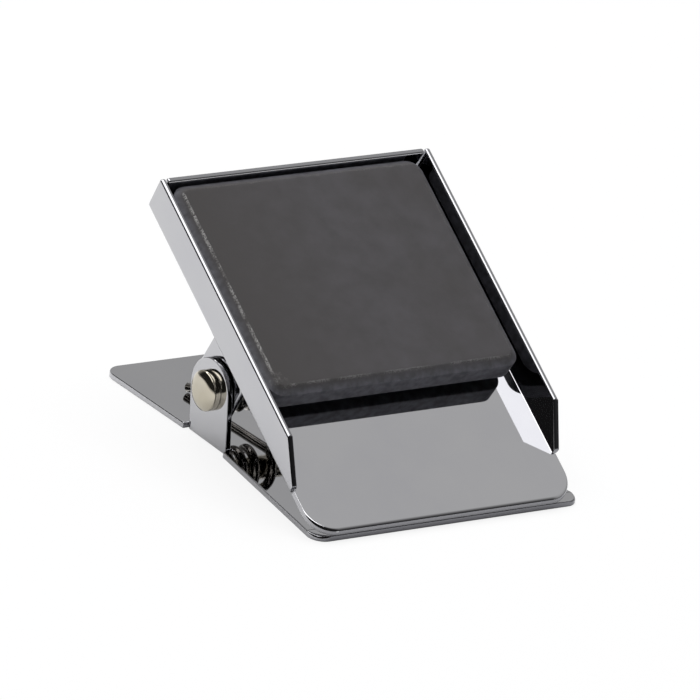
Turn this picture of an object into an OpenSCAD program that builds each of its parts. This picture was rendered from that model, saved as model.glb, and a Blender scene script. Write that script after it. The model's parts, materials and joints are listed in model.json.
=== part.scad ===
/* [Sheet steel] */
// Thickness of the plated sheet of both jaws
sheet_t = 0.8; // [0.6:0.05:1]
// Inside radius of every fold
fold_r = 0.2; // [0.2:0.05:0.4]
// Outside radius of the ears' folds, which are struck sharp
struck_r = 0.3; // [0.2:0.05:0.8]
// Width of the slot that frees the end of a fold
fold_relief = 0.25; // [0.2:0.05:0.6]

/* [Base plate] */
// Length of the base plate, from the jaw edge to the end of the lever
base_len = 51.8; // [48:0.2:58]
// Width of the base plate at the jaw edge
jaw_w = 40.2; // [38:0.2:44]
// Width of the base plate beside the ears
waist_w = 34; // [33.6:0.2:36]
// Width of the base plate at the end of the lever
lever_w = 35.4; // [34:0.2:40]
// Radius of the two jaw corners
jaw_corner_r = 2; // [1:0.1:4]
// Radius of the two lever corners
lever_corner_r = 2.2; // [1:0.1:8]

/* [Ears] */
// Width over the outer faces of the two ears
ear_span = 32.8; // [31:0.1:33]
// Width of an ear, which ends in a full round
ear_w = 8.2; // [7:0.1:9]
// Backward lean of the ears in degrees
ear_lean = 9.5; // [0:0.5:15]

/* [Pivot pin] */
// Distance from the jaw edge to the pin axis
pivot_y = 30.7; // [28:0.1:33]
// Height of the pin axis over the underside of the base plate
pivot_z = 6.65; // [6:0.05:8]
// Diameter of the pin
pin_d = 3; // [2.4:0.1:3.4]
// Diameter of the low head
head_d = 5.2; // [4.4:0.1:6]
// Height of the low head
head_t = 1.45; // [0.9:0.05:1.6]
// Diameter of the flat middle of the head
head_flat_d = 2.4; // [1.6:0.1:3.2]
// Radius of the shoulder between the flat middle and the rim of the head
head_shoulder_r = 1.9; // [1.8:0.05:3]
// Diameter of the domed, peened end
peen_d = 4.6; // [4:0.1:5.4]
// Height of the domed, peened end
peen_t = 0.9; // [0.6:0.05:1.2]
// Gap between the pin and the ear holes, all round
ear_hole_gap = 0.02; // [0.01:0.01:0.05]
// Gap between the pin and the lug holes, all round
lug_hole_gap = 0.05; // [0.02:0.01:0.1]

/* [Magnet tray] */
// Width of the tray over the folds of its side walls
tray_w = 40; // [38:0.2:44]
// Length of the tray, from the lip edge to the back wall
tray_len = 50.4; // [49:0.1:56]
// Height of the walls' rims over the underside of the floor
wall_h = 5.35; // [4.8:0.05:7]
// Length of the bare lip in front of the side walls
lip_len = 6.8; // [5:0.1:10]
// Width of the lip
lip_w = 39.2; // [36:0.1:40]
// Radius of the two lip corners
lip_corner_r = 5; // [2:0.1:7]
// Slope of the front ends of the side walls in degrees
wall_end_slope = 40; // [35:1:70]
// Height of the upright foot below that slope, over the fold
wall_end_foot = 0.3; // [0.1:0.05:1]
// Outward lean of the walls in degrees, from the spring-back of the folds
wall_splay = 3.5; // [0:0.5:6]
// Slit between the back wall and the side walls
corner_slit = 0.15; // [0.1:0.05:0.4]
// Clearance between the lip and the base plate when the jaws are shut
lip_gap = 0.05; // [0.02:0.01:0.2]

/* [Lugs] */
// Distance from the lip edge to the pin axis, along the tray
lug_y = 29.5; // [28:0.1:31]
// Distance from the underside of the tray down to the pin axis
lug_drop = 10.9; // [10.5:0.1:12]
// Width of a lug
lug_w = 8.7; // [8:0.1:9.6]
// How far the middle of a lug lies behind the pin, level with the pin
lug_shift = 0.3; // [0:0.05:0.6]
// Backward lean of the lugs over the pin in degrees
lug_lean = 3.5; // [0:0.5:6]
// How far a lug reaches past the pin axis
lug_tip = 3.1; // [2.6:0.1:3.6]
// Radius of the corners at the end of a lug
lug_corner_r = 2.6; // [1:0.1:3]
// Clearance between a lug and the ear that it runs against
lug_ear_gap = 0.15; // [0.1:0.05:0.4]
// Sideways play, taken up to one side, between the jaws
side_play = 1; // [0:0.1:1.4]

/* [Magnet and pad] */
// Length of the magnet along the tray
magnet_len = 31.8; // [26:0.2:34]
// Clearance between the magnet and the two walls that it is pushed up to, at the back and the left
magnet_gap = 0.12; // [0.05:0.01:0.5]
// Clearance between the magnet and the right wall
magnet_free = 1.15; // [0.3:0.05:1.5]
// How far the magnet stands over the rim
magnet_proud = 0.05; // [0:0.01:0.3]
// Width of the chamfer round the face of the magnet
magnet_chamfer = 1.05; // [0.3:0.05:1.4]
// Depth of that chamfer
magnet_chamfer_h = 0.8; // [0.3:0.05:1.2]
// Radius of the four upright edges of the magnet
magnet_corner_r = 2; // [1:0.1:4]
// Thickness of the adhesive pad
pad_t = 1.25; // [0.8:0.05:1.6]
// How far the pad stays inside the outline of the magnet
pad_inset = 2.4; // [1.5:0.1:4]
// Radius of the corners of the pad
pad_corner_r = 1.5; // [0.5:0.1:3]

/* [Torsion spring] */
// Diameter of the spring wire
wire_d = 1.2; // [0.8:0.05:1.3]
// Gap between the turns of the coil
coil_gap = 0.55; // [0.45:0.05:1]
// Gap between the coil and the pin
coil_pin_gap = 0.5; // [0.3:0.05:0.7]
// Whole turns of the coil
coil_turns = 3; // [2:1:10]
// Extra gap beside the end turn, under which the base leg runs out
end_turn_gap = 0.95; // [0:0.05:1.2]
// Gap between the coil and the left lug, up to which the spring has slid
coil_end_gap = 1; // [0.3:0.05:4]
// Length of the straight leg on the base plate, seen along the pin
base_leg = 12.4; // [10:0.1:14]
// Length of the straight leg under the tray, seen along the pin
tray_leg = 14; // [12:0.1:16]
// Angle by which the base leg runs out to the left, in degrees
leg_splay = 22; // [0:1:25]
// Clearance between a leg's end and the sheet that it presses on
leg_gap = 0.05; // [0.02:0.01:0.1]

/* [Hidden] */

$fn = 64;
eps = 0.01;

// Outside radius of a plain fold, and the distance from any fold line to the outer face
bend_r = fold_r + sheet_t;

// Angle between the shut jaws, at which the lip edge comes down to the base plate
lip_reach = norm([lug_y, lug_drop]);
shut_deg = atan2(lug_drop, lug_y) + asin((pivot_z - sheet_t - lip_gap) / lip_reach);

// Half spans of the ears and the lugs, each from the middle of its own jaw
ear_out = ear_span / 2;
ear_in = ear_out - sheet_t;
lug_out = ear_in - side_play - lug_ear_gap;
lug_in = lug_out - sheet_t;

// Middle of a lug at the top of the floor, from the lip edge
lug_root_y = lug_y + lug_shift + (lug_drop + sheet_t) * tan(lug_lean);

// Foot of the ear, where its sloping middle line meets the underside of the plate
ear_foot_y = pivot_y - pivot_z * tan(ear_lean);
ear_foot_half = ear_w / 2 / cos(ear_lean);
ear_slot_y0 = ear_foot_y - ear_foot_half - fold_relief;
ear_slot_y1 = ear_foot_y + ear_foot_half + bend_r * tan(ear_lean) + fold_relief;

// Half of the base plate's outline, from the jaw edge to the lever
base_half = [[jaw_w / 2, 0], [waist_w / 2, ear_slot_y0], [waist_w / 2, ear_slot_y1], [lever_w / 2, base_len]];
base_half_r = [jaw_corner_r, 0, 0, lever_corner_r];

// Sides and height of the magnet, which fills the tray up to its rim
magnet_x0 = sheet_t + magnet_gap - tray_w / 2;
magnet_x1 = tray_w / 2 - sheet_t - magnet_free;
magnet_z0 = sheet_t + pad_t;
magnet_z1 = wall_h + magnet_proud;
magnet_y1 = tray_len - sheet_t - magnet_gap;
magnet_y0 = magnet_y1 - magnet_len;

// Walls: line of the side folds, length of the flat part over a fold, and a height that clears the rim
fold_line = tray_w / 2 - bend_r;
wall_flat = (wall_h - bend_r + (fold_r + sheet_t / 2) * sin(wall_splay)) / cos(wall_splay);
over_rim = wall_h + sheet_t;

// Half spans over the rims of the side walls, and between the inner faces of the side walls over the rim
rim_half = fold_line + bend_r * cos(wall_splay) + wall_flat * sin(wall_splay);
inner_half = fold_line + fold_r / cos(wall_splay) + (over_rim - bend_r) * tan(wall_splay);

// Box of the whole clip, whose bottom middle is the origin
jaw_corner = arc_of(rounded_at(mirrored(base_half), mirrored(base_half_r), 0));
x_min = min(-rim_half, side_play - jaw_corner[0] - jaw_corner_r);
x_max = max(rim_half, side_play + jaw_corner[0] + jaw_corner_r);
y_min = min(0, pivot_y - lug_y * cos(shut_deg) - (lug_drop + sheet_t) * sin(shut_deg));
origin = [(x_min + x_max) / 2, (y_min + base_len) / 2, 0];

// Coil of the spring: the base leg leaves under it and the tray leg leaves over it
coil_r = pin_d / 2 + coil_pin_gap + wire_d / 2;
coil_pitch = wire_d + coil_gap;
base_tip_z = sheet_t + leg_gap + wire_d / 2 - pivot_z;
base_tip_r = norm([base_leg, coil_r]);
base_leg_deg = asin(base_tip_z / base_tip_r) + asin(coil_r / base_tip_r);
tray_tip_z = lug_drop - leg_gap - wire_d / 2;
tray_tip_r = norm([tray_leg, coil_r]);
tray_leg_deg = shut_deg + asin(tray_tip_z / tray_tip_r) - asin(coil_r / tray_tip_r);
coil_from = base_leg_deg - 90;
coil_part = (coil_from - tray_leg_deg - 90 + 720) % 360;
coil_sweep = 360 * round(coil_turns) + coil_part;
coil_left = coil_end_gap + wire_d / 2 - lug_in;
coil_right = coil_left + coil_pitch * coil_sweep / 360 + end_turn_gap;
rings_per_turn = 12;
wire_sides = 8;
coil_steps = ceil(coil_sweep / 360 * rings_per_turn);

// Mirror image of a half outline's points or radii, in order round the whole outline
function mirrored(half) = concat(half, [for (i = [len(half) - 1:-1:0])
    is_list(half[i]) ? [-half[i][0], half[i][1]] : half[i]]);

// Unit vector from a to b
function toward(a, b) = (b - a) / norm(b - a);

// A rounded corner as its first tangent point, arc centre and second tangent point
function rounded_at(pts, radii, i) =
    let (
        n = len(pts),
        before = toward(pts[i], pts[(i + n - 1) % n]),
        after = toward(pts[i], pts[(i + 1) % n]),
        half = acos(before * after) / 2,
        back = radii[i] / tan(half),
        middle = toward([0, 0], before + after)
    )
    [pts[i] + before * back, pts[i] + middle * radii[i] / sin(half), pts[i] + after * back];

function arc_of(corner) = corner[1];

// Polygon with true arcs at its outward corners; a radius of 0 leaves a corner sharp
module rounded_polygon(pts, radii) {
    rounded = [for (i = [0:len(pts) - 1]) radii[i] > 0 ? rounded_at(pts, radii, i) : [pts[i]]];
    polygon([for (corner = rounded) each corner]);
    for (i = [0:len(pts) - 1])
        if (radii[i] > 0)
            translate(arc_of(rounded[i])) circle(radii[i]);
}

// Rectangle from a low to a high corner, with the corners rounded
module rounded_box_2d(low, high, r) {
    rounded_polygon([low, [high[0], low[1]], high, [low[0], high[1]]], [r, r, r, r]);
}

// Section of a sheet that folds up at x = 0 and leans outward by the splay, with its leg's length
module fold_section(leg, splay = 0) {
    past = 2 * bend_r;
    translate([0, bend_r]) {
        intersection() {
            difference() {
                circle(bend_r);
                circle(fold_r);
            }
            polygon([[0, 0], [0, -past], [past, -past], past * [cos(splay), -sin(splay)]]);
        }
        rotate(-splay) translate([fold_r, 0]) square([sheet_t, leg]);
    }
}

// Section of an ear's fold, sharp on the outside, with its leg's length
module struck_section(leg) {
    translate([fold_r, bend_r]) square([sheet_t, leg]);
    difference() {
        union() {
            square([bend_r - struck_r, bend_r]);
            translate([0, struck_r]) square([bend_r, bend_r - struck_r]);
            translate([bend_r - struck_r, struck_r]) circle(struck_r);
        }
        translate([0, bend_r]) circle(fold_r);
    }
}

// Section in x and z, drawn along y from y0 to y1
module along_y(y0, y1) {
    translate([0, y1, 0]) rotate([90, 0, 0]) linear_extrude(y1 - y0) children();
}

// Outline in y and z, drawn along x from x0 to x1
module side_cut(x0, x1) {
    translate([x0, 0, 0]) rotate([90, 0, 90]) linear_extrude(x1 - x0) children();
}

// Both hands of a shape
module both_sides() {
    children();
    mirror([1, 0, 0]) children();
}

// Round bar along x at the given y and z
module bar_x(r, x0, x1, y, z) {
    translate([x0, y, z]) rotate([0, 90, 0]) cylinder(r = r, h = x1 - x0);
}

// The base plate's own place: its middle is off the tray's middle by the play
module in_base() {
    translate([side_play, 0, 0] - origin) children();
}

// The tray's own place: x across, y from the lip edge, z from the underside of the floor
module in_tray() {
    translate([0, pivot_y, pivot_z] - origin)
        rotate([shut_deg, 0, 0])
            translate([0, -lug_y, lug_drop]) children();
}

// Ear seen from the side: sloping straight sides and a full round about the pin
module ear_outline() {
    across = [cos(ear_lean), -sin(ear_lean)] * ear_w / 2;
    pin = [pivot_y, pivot_z];
    translate(pin) circle(ear_w / 2);
    polygon([
        [ear_foot_y - ear_foot_half, 0],
        [ear_foot_y + ear_foot_half, 0],
        pin + across,
        pin - across
    ]);
}

module ear() {
    difference() {
        intersection() {
            translate([ear_out - bend_r, 0, 0])
                along_y(ear_slot_y0, ear_slot_y1 + ear_w) struck_section(pivot_z + ear_w);
            side_cut(0, ear_span) ear_outline();
        }
        bar_x(pin_d / 2 + ear_hole_gap, 0, ear_span, pivot_y, pivot_z);
    }
}

module base_plate() {
    color("lightsteelblue") in_base() {
        linear_extrude(sheet_t) difference() {
            rounded_polygon(mirrored(base_half), mirrored(base_half_r));
            both_sides()
                translate([ear_out - bend_r, ear_slot_y0])
                    square([waist_w, ear_slot_y1 - ear_slot_y0]);
        }
        both_sides() ear();
    }
}

// Half section of the pin about its axis, with the low head below and the peened end above
module pin_section() {
    dome_r = (peen_d * peen_d / 4 + peen_t * peen_t) / (2 * peen_t);
    square([pin_d / 2, ear_span]);
    translate([0, -head_t]) {
        square([head_flat_d / 2, head_t]);
        intersection() {
            translate([head_flat_d / 2, head_shoulder_r]) circle(head_shoulder_r);
            square([head_d / 2, head_t]);
        }
    }
    translate([0, ear_span]) intersection() {
        translate([0, peen_t - dome_r]) circle(dome_r);
        square([peen_d / 2, peen_t]);
    }
}

module pivot_pin() {
    color("wheat") in_base()
        translate([-ear_out, pivot_y, pivot_z])
            rotate([0, 90, 0]) rotate_extrude() pin_section();
}

// Side wall seen from the side, from its sloping front end to the back wall; the rim ends it above
module wall_outline() {
    foot = bend_r + wall_end_foot;
    back = tray_len - corner_slit;
    polygon([
        [lip_len, 0],
        [back, 0],
        [back + over_rim * tan(wall_splay), over_rim],
        [lip_len + (over_rim - foot) / tan(wall_end_slope), over_rim],
        [lip_len, foot]
    ]);
}

module side_wall() {
    intersection() {
        translate([fold_line, 0, 0])
            along_y(lip_len, tray_len + over_rim) fold_section(wall_flat, wall_splay);
        side_cut(0, tray_w) wall_outline();
    }
}

// Back wall, which is narrow between the side folds and widens between the side walls
module back_wall() {
    half = fold_line - corner_slit;
    intersection() {
        translate([0, tray_len - bend_r, 0])
            side_cut(-tray_w, tray_w) fold_section(wall_flat, wall_splay);
        along_y(tray_len - bend_r, tray_len + over_rim)
            polygon(mirrored([[half, 0], [half, bend_r], [inner_half - corner_slit, over_rim]]));
    }
}

// Lug seen from the side: it leans back, is square at the floor and rounded at its end
module lug_outline() {
    half = [lug_w / 2, 0];
    end = [lug_y + lug_shift - lug_tip * tan(lug_lean), -lug_drop - lug_tip];
    root = [lug_root_y, sheet_t];
    rounded_polygon(
        [end - half, end + half, root + half, root - half],
        [lug_corner_r, lug_corner_r, 0, 0]
    );
}

// A lug is cut from the floor and folded down, so its fold is the wall's fold turned over
module lug() {
    difference() {
        intersection() {
            translate([-lug_in - bend_r, 0, sheet_t]) mirror([0, 0, 1])
                along_y(lug_y - lug_w, lug_y + lug_w) fold_section(lug_drop + lug_tip);
            side_cut(-tray_w, 0) lug_outline();
        }
        bar_x(pin_d / 2 + lug_hole_gap, -tray_w, 0, lug_y, -lug_drop);
    }
}

// Floor with its lip, and the window that the two lugs leave behind
module tray_floor() {
    window = [lug_in + bend_r, lug_w / 2 + fold_relief];
    linear_extrude(sheet_t) difference() {
        union() {
            rounded_polygon(
                mirrored([[lip_w / 2, 0], [lip_w / 2, lip_len - fold_relief]]),
                [lip_corner_r, 0, 0, lip_corner_r]
            );
            translate([-fold_line, lip_len - fold_relief - eps])
                square([2 * fold_line, tray_len - bend_r - lip_len + fold_relief + eps]);
        }
        translate([0, lug_root_y]) translate(-window) square(2 * window);
    }
}

module magnet_tray() {
    color("gainsboro") in_tray() {
        tray_floor();
        both_sides() {
            side_wall();
            lug();
        }
        back_wall();
    }
}

module adhesive_pad() {
    inset = [pad_inset, pad_inset];
    color("dimgray") in_tray()
        translate([0, 0, sheet_t]) linear_extrude(pad_t)
            rounded_box_2d([magnet_x0, magnet_y0] + inset, [magnet_x1, magnet_y1] - inset, pad_corner_r);
}

// Rectangle in one upright plane with its two upper corners cut off
module chamfered_section(low, high) {
    polygon([
        [low, magnet_z0],
        [high, magnet_z0],
        [high, magnet_z1 - magnet_chamfer_h],
        [high - magnet_chamfer, magnet_z1],
        [low + magnet_chamfer, magnet_z1],
        [low, magnet_z1 - magnet_chamfer_h]
    ]);
}

module magnet() {
    color("darkslategray") in_tray() intersection() {
        translate([0, 0, magnet_z0]) linear_extrude(magnet_z1 - magnet_z0)
            rounded_box_2d([magnet_x0, magnet_y0], [magnet_x1, magnet_y1], magnet_corner_r);
        side_cut(magnet_x0, magnet_x1) chamfered_section(magnet_y0, magnet_y1);
        along_y(magnet_y0, magnet_y1) chamfered_section(magnet_x0, magnet_x1);
    }
}

// Outward direction on the coil at an angle from +y towards +z
function outward(deg) = [0, cos(deg), sin(deg)];

// Middle line of the wire: base leg, coil and tray leg, each point with its outward and sideways directions
coil_line = [for (i = [0:coil_steps])
    let (
        turns = coil_sweep / 360 * i / coil_steps,
        deg = coil_from - 360 * turns,
        x = coil_right - coil_pitch * turns - end_turn_gap * min(turns, 1)
    )
    [[x, 0, 0] + coil_r * outward(deg), outward(deg), [1, 0, 0]]];

// End of a leg that leaves the given point of the coil and runs out to the right by an angle
function leg_end(at, leg, deg, side) = [
    at[0] + leg * (outward(deg) + [tan(side), 0, 0]),
    at[1],
    [cos(side), 0, 0] - sin(side) * outward(deg)
];
wire_line = concat(
    [leg_end(coil_line[0], base_leg, base_leg_deg, -leg_splay)],
    coil_line,
    [leg_end(coil_line[coil_steps], tray_leg, tray_leg_deg, 0)]
);

// Points along the base leg, as shares of the way from the coil to its end
leg_line = [for (part = [0.05:0.05:1])
    coil_line[0][0] + part * (wire_line[0][0] - coil_line[0][0])];

// Least gap of the wire to itself, between points of coil and base leg at least half a turn apart
half_turn = rings_per_turn / 2;
wire_gap = min([for (j = [half_turn:coil_steps]) each concat(
    [for (i = [0:j - half_turn]) norm(coil_line[i][0] - coil_line[j][0])],
    [for (at = leg_line) norm(at - coil_line[j][0])]
)]) - wire_d;
echo(least_gap_of_wire_to_itself = wire_gap);

// One unbroken tube of triangles along the wire's middle line
module torsion_spring() {
    rings = len(wire_line);
    sides = wire_sides;
    points = [for (at = wire_line, k = [0:sides - 1])
        at[0] + wire_d / 2 * (cos(360 * k / sides) * at[1] + sin(360 * k / sides) * at[2])];
    skin = [for (i = [0:rings - 2], k = [0:sides - 1])
        let (a = i * sides + k, b = i * sides + (k + 1) % sides)
        each [[a, a + sides, b], [b, a + sides, b + sides]]];
    last = (rings - 1) * sides;
    first_end = [for (k = [1:sides - 2]) [0, k, k + 1]];
    last_end = [for (k = [1:sides - 2]) [last, last + k + 1, last + k]];
    color("darkgray") translate([0, pivot_y, pivot_z] - origin)
        polyhedron(points, concat(skin, first_end, last_end));
}

base_plate();
pivot_pin();
torsion_spring();
magnet_tray();
adhesive_pad();
magnet();
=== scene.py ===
"""Magnetic clip of folded chrome sheet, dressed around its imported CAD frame.

The CAD nodes give every size and place. Each class below models one sub-assembly over its node,
gives it a finish and hangs it on the body that it moves with.
"""

import json
import logging
import math
from collections.abc import Callable, Iterator
from contextlib import contextmanager
from dataclasses import dataclass
from enum import Enum
from typing import Any

import bmesh
import bpy
from bmesh.types import BMEdge, BMesh
from bpy.types import Material, Mesh, Node, NodeSocket, NodeTree, Object, World
from mathutils import Matrix, Vector, noise

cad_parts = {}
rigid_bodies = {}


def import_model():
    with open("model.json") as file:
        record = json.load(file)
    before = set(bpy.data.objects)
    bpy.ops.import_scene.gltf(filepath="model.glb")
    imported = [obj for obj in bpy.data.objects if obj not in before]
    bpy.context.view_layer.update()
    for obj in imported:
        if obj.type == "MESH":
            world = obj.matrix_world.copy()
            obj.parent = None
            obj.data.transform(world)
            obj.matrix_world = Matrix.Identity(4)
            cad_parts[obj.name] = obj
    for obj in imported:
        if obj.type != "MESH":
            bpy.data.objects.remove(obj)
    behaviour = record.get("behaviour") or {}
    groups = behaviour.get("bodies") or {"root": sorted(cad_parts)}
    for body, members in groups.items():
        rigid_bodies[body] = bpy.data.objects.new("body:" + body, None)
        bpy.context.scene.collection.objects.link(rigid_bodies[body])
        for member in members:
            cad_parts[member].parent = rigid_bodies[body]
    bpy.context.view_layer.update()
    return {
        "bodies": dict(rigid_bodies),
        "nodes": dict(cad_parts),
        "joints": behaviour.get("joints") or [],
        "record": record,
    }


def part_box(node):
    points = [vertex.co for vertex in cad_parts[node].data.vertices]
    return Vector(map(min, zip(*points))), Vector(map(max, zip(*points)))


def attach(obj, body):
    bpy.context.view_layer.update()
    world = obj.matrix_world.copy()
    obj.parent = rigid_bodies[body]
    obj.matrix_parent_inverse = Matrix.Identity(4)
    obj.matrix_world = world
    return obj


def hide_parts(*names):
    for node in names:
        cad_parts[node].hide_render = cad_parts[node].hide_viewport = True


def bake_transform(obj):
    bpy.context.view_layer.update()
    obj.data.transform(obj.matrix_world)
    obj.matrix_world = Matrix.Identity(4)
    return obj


Span = tuple[float, float]
Point = tuple[float, float, float]
Tints = tuple[str, str]

LOG = logging.getLogger("magnetic_clip")
MM = 0.001
WHITE = (1.0, 1.0, 1.0, 1.0)
WHOLE: Span = (0.0, 1.0)
# Distance within which two places are one
NEAR = 0.001 * MM
# Share of its normal along an axis from which a face looks that way
FACING = 0.9


class Body(str, Enum):
    """The two jaws, which turn against each other on the pin."""

    BASE = "base"
    TRAY = "tray"


class Slot(str, Enum):
    """The record's material slots."""

    CHROME = "chrome_sheet"
    NICKEL = "nickel_rivet"
    WIRE = "spring_wire"
    FOAM = "foam_tape"
    FERRITE = "ferrite"


class Mark(str, Enum):
    """Attributes from 0 to 1 that a mesh carries for its finish."""

    FRONT_EDGE = "front_edge"
    EDGE_NEAR = "edge_near"
    EDGE_WEAR = "edge_wear"
    FIRED_SKIN = "fired_skin"


class Element(str, Enum):
    """The elements of a mesh that are selected by a test."""

    EDGE = "EDGE"
    FACE = "FACE"


# Helpers for meshes


def make_active(piece: Object) -> None:
    """Selects one object alone and makes it the active one."""
    bpy.ops.object.select_all(action="DESELECT")
    piece.select_set(True)
    bpy.context.view_layer.objects.active = piece


@contextmanager
def editing(piece: Object) -> Iterator[None]:
    """Opens one piece in edit mode with nothing selected in its mesh, for the length of a block."""
    make_active(piece)
    bpy.ops.object.mode_set(mode="EDIT")
    bpy.ops.mesh.select_mode(type="VERT")
    bpy.ops.mesh.select_all(action="DESELECT")
    yield
    bpy.ops.object.mode_set(mode="OBJECT")


def newest(name: str) -> Object:
    """Names the object that an operator has just added, and its mesh."""
    piece = bpy.context.active_object
    piece.name = name
    piece.data.name = name
    return piece


def settle(piece: Object) -> None:
    """Applies an object's place to its mesh, which leaves the object at the origin."""
    make_active(piece)
    bpy.ops.object.transform_apply(location=True, rotation=True, scale=True)


def add_object(name: str, data: bpy.types.ID) -> Object:
    """Adds an object over a mesh or curve that the script has made, and makes it active."""
    piece = bpy.data.objects.new(name, data)
    bpy.context.scene.collection.objects.link(piece)
    make_active(piece)
    return piece


def add_box(name: str, middle: Vector, size: Vector) -> Object:
    """Adds a box with its middle and its lengths along the axes."""
    bpy.ops.mesh.primitive_cube_add(size=1, location=middle, scale=size)
    piece = newest(name)
    settle(piece)
    return piece


def apply_modifier(piece: Object, name: str, kind: str, **settings: Any) -> None:
    """Adds a modifier to a piece and applies it.

    Args:
        piece: Mesh object that is changed.
        name: Name of the modifier.
        kind: Blender's name for the type of modifier.
        **settings: Values of the modifier's properties.
    """
    make_active(piece)
    modifier = piece.modifiers.new(name, kind)
    for key, value in settings.items():
        setattr(modifier, key, value)
    bpy.ops.object.modifier_apply(modifier=name)


def select(piece: Object, kind: Element, test: Callable[[Any], bool]) -> None:
    """Selects the elements of a piece in edit mode that pass a test, and nothing else.

    Args:
        piece: Mesh object in edit mode.
        kind: Whether edges or faces are tested.
        test: Function of an edge or a face.
    """
    bpy.ops.mesh.select_mode(type=kind.value)
    bpy.ops.mesh.select_all(action="DESELECT")
    shape = bmesh.from_edit_mesh(piece.data)
    for element in shape.edges if kind is Element.EDGE else shape.faces:
        element.select_set(test(element))
    shape.select_flush_mode()
    bmesh.update_edit_mesh(piece.data)


def bevel_edges(
    piece: Object, test: Callable[[BMEdge], bool], width_mm: float, steps: int
) -> None:
    """Bevels the edges of a piece in edit mode that pass a test, with a number of facets."""
    select(piece, Element.EDGE, test)
    bpy.ops.mesh.bevel(offset=width_mm * MM, segments=steps, affect="EDGES")


def upright(edge: BMEdge) -> bool:
    """Tells whether an edge runs along z."""
    first, last = (v.co for v in edge.verts)
    return abs(first.z - last.z) > 2 * math.hypot(first.x - last.x, first.y - last.y)


def level_at(height: float) -> Callable[[BMEdge], bool]:
    """Gives the test for edges that lie at a height."""
    return lambda edge: all(abs(v.co.z - height) < NEAR for v in edge.verts)


def smooth_flat(piece: Object, sharp_deg: float | None = None) -> None:
    """Shades a piece smooth with its large faces kept flat, as on a ground or rolled part.

    Args:
        piece: Mesh object that is shaded.
        sharp_deg: Angle from which an edge stays sharp, if any does.
    """
    make_active(piece)
    if sharp_deg is None:
        bpy.ops.object.shade_smooth()
    else:
        bpy.ops.object.shade_smooth_by_angle(angle=math.radians(sharp_deg))
    apply_modifier(piece, "flat_faces", "WEIGHTED_NORMAL", mode="FACE_AREA", keep_sharp=True)


# Helpers for finishes


def linear(colour: str) -> tuple[float, float, float, float]:
    """Turns an sRGB hex colour to linear RGBA.

    Args:
        colour: Six hex digits after a hash sign.

    Returns:
        Linear red, green, blue and an alpha of 1.
    """
    shares = [int(colour[i : i + 2], 16) / 255 for i in (1, 3, 5)]
    bent = [c / 12.92 if c <= 0.04045 else ((c + 0.055) / 1.055) ** 2.4 for c in shares]
    return bent[0], bent[1], bent[2], 1.0


@dataclass(frozen=True)
class Pattern:
    """A noise in a finish.

    Attributes:
        size_mm: Size of its patches.
        detail: How far the patches break up into smaller ones.
        span: Values of the noise between which it takes effect.
    """

    size_mm: float
    detail: float
    span: Span = (0.35, 0.65)


@dataclass(frozen=True)
class Nodes:
    """A node tree, with one function that adds nodes and short names for the usual ones."""

    tree: NodeTree

    @classmethod
    def of(cls, owner: Material | World) -> "Nodes":
        """Takes the node tree of a material or a world, emptied."""
        owner.use_nodes = True
        owner.node_tree.nodes.clear()
        return cls(owner.node_tree)

    def add(
        self, kind: str, inputs: dict[str | int, Any] | None = None, **settings: Any
    ) -> Node:
        """Adds a node with its settings, values and links.

        Args:
            kind: Blender's name for the type of node, without ShaderNode.
            inputs: Values or linked sockets, by the name or number of the input.
            **settings: Values of the node's own properties.

        Returns:
            The new node.
        """
        node = self.tree.nodes.new(f"ShaderNode{kind}")
        for name, value in settings.items():
            setattr(node, name, value)
        for name, value in (inputs or {}).items():
            if isinstance(value, NodeSocket):
                self.tree.links.new(value, node.inputs[name])
            else:
                node.inputs[name].default_value = value
        return node

    def math(self, operation: str, *values: NodeSocket | float) -> NodeSocket:
        """Works a sum out over values and sockets."""
        return self.add("Math", dict(enumerate(values)), operation=operation).outputs[0]

    def noise(self, place: NodeSocket, pattern: Pattern) -> NodeSocket:
        """Draws the noise of a pattern, over the coordinates in a socket."""
        scale = 1 / (pattern.size_mm * MM)
        inputs = {"Vector": place, "Scale": scale, "Detail": pattern.detail}
        return self.add("TexNoise", inputs).outputs["Fac"]

    def stretch(
        self, value: NodeSocket, span: Span, to: Span = WHOLE, **settings: Any
    ) -> NodeSocket:
        """Maps a span of values to another, with the ends held."""
        ends = dict(zip(("From Min", "From Max", "To Min", "To Max"), (*span, *to)))
        return self.add("MapRange", {"Value": value, **ends}, **settings).outputs["Result"]

    def spots(self, place: NodeSocket, pattern: Pattern, most: float = 1.0) -> NodeSocket:
        """Gives the share of a pattern at a point, from 0 up to the most that it can be."""
        return self.stretch(self.noise(place, pattern), pattern.span, (0.0, most))

    def ramp(self, value: NodeSocket, span: Span, tints: Tints) -> NodeSocket:
        """Runs from one hex colour to another over a span of values."""
        node = self.add("ValToRGB", {"Fac": value})
        for stop, place, colour in zip(node.color_ramp.elements, span, tints):
            stop.position = place
            stop.color = linear(colour)
        return node.outputs["Color"]

    def mix(self, share: NodeSocket, under: NodeSocket, over: Any) -> NodeSocket:
        """Lays a share of one colour over another."""
        inputs = {0: share, 6: under, 7: over}
        return self.add("Mix", inputs, data_type="RGBA").outputs[2]

    def mark(self, mark: Mark) -> NodeSocket:
        """Reads one of the mesh's attributes."""
        return self.add("Attribute", attribute_name=mark.value).outputs["Fac"]

    def relief(self, height: NodeSocket, depth_mm: float, strength: float) -> NodeSocket:
        """Turns a pattern to relief of a depth."""
        inputs = {"Strength": strength, "Distance": depth_mm * MM, "Height": height}
        return self.add("Bump", inputs).outputs["Normal"]


# Finishes


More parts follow.
